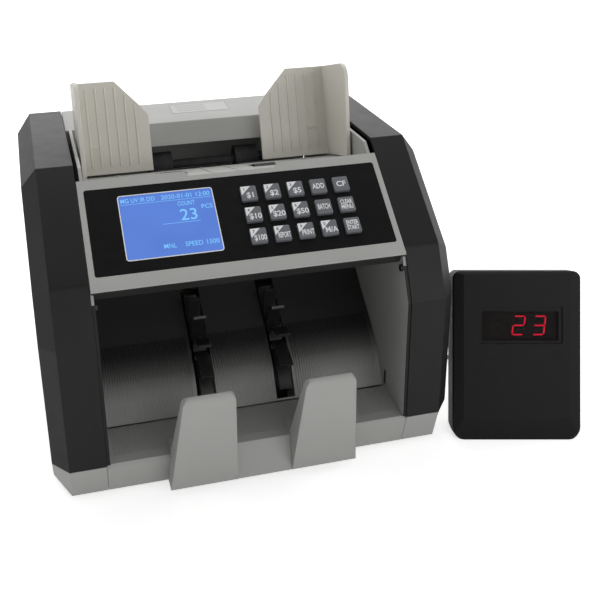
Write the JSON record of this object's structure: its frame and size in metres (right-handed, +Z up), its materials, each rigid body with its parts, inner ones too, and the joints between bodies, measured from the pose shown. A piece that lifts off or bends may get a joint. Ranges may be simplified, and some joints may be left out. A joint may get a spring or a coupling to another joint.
{
  "type": "banknote counting machine",
  "caption": "Desktop banknote counting machine with sloping control panel, hopper with sliding note guides, front stacker, and a wired external counter display.",
  "frame": {"origin": "on the floor under the centre of the machine's footprint", "axes": "+X to the machine's right as seen from its front, +Y to its back, +Z up"},
  "size_m": [0.3425, 0.311, 0.2188],
  "materials": {
    "charcoal_plastic": "fine textured charcoal moulding",
    "light_grey_plastic": "fine textured light warm grey moulding",
    "guide_plastic": "warm off-white moulding",
    "overlay_film": "satin black film",
    "lcd_screen": "backlit blue display",
    "key_plastic": "dark grey keys",
    "black_plastic": "black moulding",
    "sheet_steel": "zinc-plated sheet",
    "shaft_rubber": "feed rubber",
    "foot_rubber": "soft rubber",
    "screw_steel": "bright zinc",
    "motor_can": "dull metal can",
    "belt_rubber": "toothed belt",
    "board_green": "solder mask",
    "gear_nylon": "natural nylon",
    "window_acrylic": "dark red window",
    "cord_jacket": "grey jacket"
  },
  "bodies": {
    "housing": {"base_tray": "light_grey_plastic", "base_end_left": "light_grey_plastic", "base_end_right": "light_grey_plastic", "side_cover_left": "charcoal_plastic", "side_cover_right": "charcoal_plastic", "inner_wall_left": "light_grey_plastic", "inner_wall_right": "light_grey_plastic", "chassis_plate_left": "sheet_steel", "chassis_plate_right": "sheet_steel", "panel_frame": "light_grey_plastic", "panel_overlay": "overlay_film", "lcd_module": "lcd_screen", "keypad_board": "board_green", "hopper_bed": "light_grey_plastic", "rear_top_cover": "light_grey_plastic", "rear_panel": "charcoal_plastic", "stacker_back_plate": "light_grey_plastic", "stacker_arm_left": "light_grey_plastic", "stacker_arm_right": "light_grey_plastic", "rubber_feet": "foot_rubber", "screws": "screw_steel", "main_motor": "motor_can", "stacker_motor": "motor_can", "drive_belt": "belt_rubber", "main_board": "board_green", "power_supply": "board_green", "power_inlet": "black_plastic", "display_cord_grommet": "black_plastic", "retard_roller": "shaft_rubber", "display_front_shell": "charcoal_plastic", "display_back_shell": "charcoal_plastic", "display_window": "window_acrylic", "display_cord": "cord_jacket", "display_cord_coil": "cord_jacket"},
    "left_guide": {"note_guide_left": "guide_plastic"},
    "right_guide": {"note_guide_right": "guide_plastic"},
    "pinion": {"guide_pinion": "gear_nylon"},
    "feed_drum": {"feed_roller": "shaft_rubber"},
    "pickup": {"pickup_roller": "shaft_rubber"},
    "motor_rotor": {"motor_pulley": "gear_nylon"},
    "stacker": {"stacker_wheels": "black_plastic"},
    "door": {"rear_door": "light_grey_plastic"},
    "switch_rocker": {"power_switch": "black_plastic"},
    "knob": {"adjusting_knob": "charcoal_plastic"},
    "stand": {"display_stand": "charcoal_plastic"},
    "key_1_1_cap": {"key_1_1": "key_plastic"},
    "key_1_2_cap": {"key_1_2": "key_plastic"},
    "key_1_3_cap": {"key_1_3": "key_plastic"},
    "key_1_4_cap": {"key_1_4": "key_plastic"},
    "key_1_5_cap": {"key_1_5": "key_plastic"},
    "key_2_1_cap": {"key_2_1": "key_plastic"},
    "key_2_2_cap": {"key_2_2": "key_plastic"},
    "key_2_3_cap": {"key_2_3": "key_plastic"},
    "key_2_4_cap": {"key_2_4": "key_plastic"},
    "key_2_5_cap": {"key_2_5": "key_plastic"},
    "key_3_1_cap": {"key_3_1": "key_plastic"},
    "key_3_2_cap": {"key_3_2": "key_plastic"},
    "key_3_3_cap": {"key_3_3": "key_plastic"},
    "key_3_4_cap": {"key_3_4": "key_plastic"},
    "key_3_5_cap": {"key_3_5": "key_plastic"}
  },
  "joints": [
    {"name": "key_1_1_press", "type": "slide", "parent": "housing", "child": "key_1_1_cap", "axis": [0, 0.5736, -0.8192], "range_m": [0, 0.0008], "stiffness_N_per_m": 400},
    {"name": "key_1_2_press", "type": "slide", "parent": "housing", "child": "key_1_2_cap", "axis": [0, 0.5736, -0.8192], "range_m": [0, 0.0008], "stiffness_N_per_m": 400},
    {"name": "key_1_3_press", "type": "slide", "parent": "housing", "child": "key_1_3_cap", "axis": [0, 0.5736, -0.8192], "range_m": [0, 0.0008], "stiffness_N_per_m": 400},
    {"name": "key_1_4_press", "type": "slide", "parent": "housing", "child": "key_1_4_cap", "axis": [0, 0.5736, -0.8192], "range_m": [0, 0.0008], "stiffness_N_per_m": 400},
    {"name": "key_1_5_press", "type": "slide", "parent": "housing", "child": "key_1_5_cap", "axis": [0, 0.5736, -0.8192], "range_m": [0, 0.0008], "stiffness_N_per_m": 400},
    {"name": "key_2_1_press", "type": "slide", "parent": "housing", "child": "key_2_1_cap", "axis": [0, 0.5736, -0.8192], "range_m": [0, 0.0008], "stiffness_N_per_m": 400},
    {"name": "key_2_2_press", "type": "slide", "parent": "housing", "child": "key_2_2_cap", "axis": [0, 0.5736, -0.8192], "range_m": [0, 0.0008], "stiffness_N_per_m": 400},
    {"name": "key_2_3_press", "type": "slide", "parent": "housing", "child": "key_2_3_cap", "axis": [0, 0.5736, -0.8192], "range_m": [0, 0.0008], "stiffness_N_per_m": 400},
    {"name": "key_2_4_press", "type": "slide", "parent": "housing", "child": "key_2_4_cap", "axis": [0, 0.5736, -0.8192], "range_m": [0, 0.0008], "stiffness_N_per_m": 400},
    {"name": "key_2_5_press", "type": "slide", "parent": "housing", "child": "key_2_5_cap", "axis": [0, 0.5736, -0.8192], "range_m": [0, 0.0008], "stiffness_N_per_m": 400},
    {"name": "key_3_1_press", "type": "slide", "parent": "housing", "child": "key_3_1_cap", "axis": [0, 0.5736, -0.8192], "range_m": [0, 0.0008], "stiffness_N_per_m": 400},
    {"name": "key_3_2_press", "type": "slide", "parent": "housing", "child": "key_3_2_cap", "axis": [0, 0.5736, -0.8192], "range_m": [0, 0.0008], "stiffness_N_per_m": 400},
    {"name": "key_3_3_press", "type": "slide", "parent": "housing", "child": "key_3_3_cap", "axis": [0, 0.5736, -0.8192], "range_m": [0, 0.0008], "stiffness_N_per_m": 400},
    {"name": "key_3_4_press", "type": "slide", "parent": "housing", "child": "key_3_4_cap", "axis": [0, 0.5736, -0.8192], "range_m": [0, 0.0008], "stiffness_N_per_m": 400},
    {"name": "key_3_5_press", "type": "slide", "parent": "housing", "child": "key_3_5_cap", "axis": [0, 0.5736, -0.8192], "range_m": [0, 0.0008], "stiffness_N_per_m": 400},
    {"name": "left_guide_slide", "type": "slide", "parent": "housing", "child": "left_guide", "axis": [1, 0, 0], "range_m": [0, 0.028]},
    {"name": "right_guide_slide", "type": "slide", "parent": "housing", "child": "right_guide", "axis": [-1, 0, 0], "range_m": [0, 0.028]},
    {"name": "guide_pinion_turn", "type": "hinge", "parent": "housing", "child": "pinion", "pos_m": [0, 0.07, 0.163], "axis": [0, 0, 1], "range_deg": [0, 205]},
    {"name": "feed_drum_spin", "type": "hinge", "parent": "housing", "child": "feed_drum", "pos_m": [0, 0.0266, 0.12325], "axis": [-1, 0, 0], "continuous": true},
    {"name": "pickup_spin", "type": "hinge", "parent": "housing", "child": "pickup", "pos_m": [0, -0.00652, 0.14488], "axis": [-1, 0, 0], "continuous": true},
    {"name": "motor_spin", "type": "hinge", "parent": "housing", "child": "motor_rotor", "pos_m": [0, 0.04, 0.05], "axis": [-1, 0, 0], "continuous": true},
    {"name": "stacker_spin", "type": "hinge", "parent": "housing", "child": "stacker", "pos_m": [0, -0.0415, 0.0475], "axis": [1, 0, 0], "continuous": true},
    {"name": "rear_door_hinge", "type": "hinge", "parent": "housing", "child": "door", "pos_m": [0, 0.1128, 0.0825], "axis": [-1, 0, 0], "range_deg": [0, 75]},
    {"name": "power_switch_rock", "type": "hinge", "parent": "housing", "child": "switch_rocker", "pos_m": [-0.015, 0.111, 0.05], "axis": [1, 0, 0], "range_deg": [-20, 0]},
    {"name": "knob_turn", "type": "hinge", "parent": "housing", "child": "knob", "pos_m": [0, 0.1036, 0.16394], "axis": [0, 0.8173, 0.5763], "range_deg": [-150, 150]},
    {"name": "stand_fold", "type": "hinge", "parent": "housing", "child": "stand", "pos_m": [0.17785, -0.07666, 0.05396], "axis": [0.9632, -0.2689, 0], "range_deg": [-35, 0]}
  ],
  "couplings": [
    {"joint": "right_guide_slide", "follows": "left_guide_slide", "ratio": 1},
    {"joint": "guide_pinion_turn", "follows": "left_guide_slide", "rad_per_m": 125},
    {"joint": "pickup_spin", "follows": "feed_drum_spin", "ratio": 1.4},
    {"joint": "motor_spin", "follows": "feed_drum_spin", "ratio": 1.75}
  ]
}
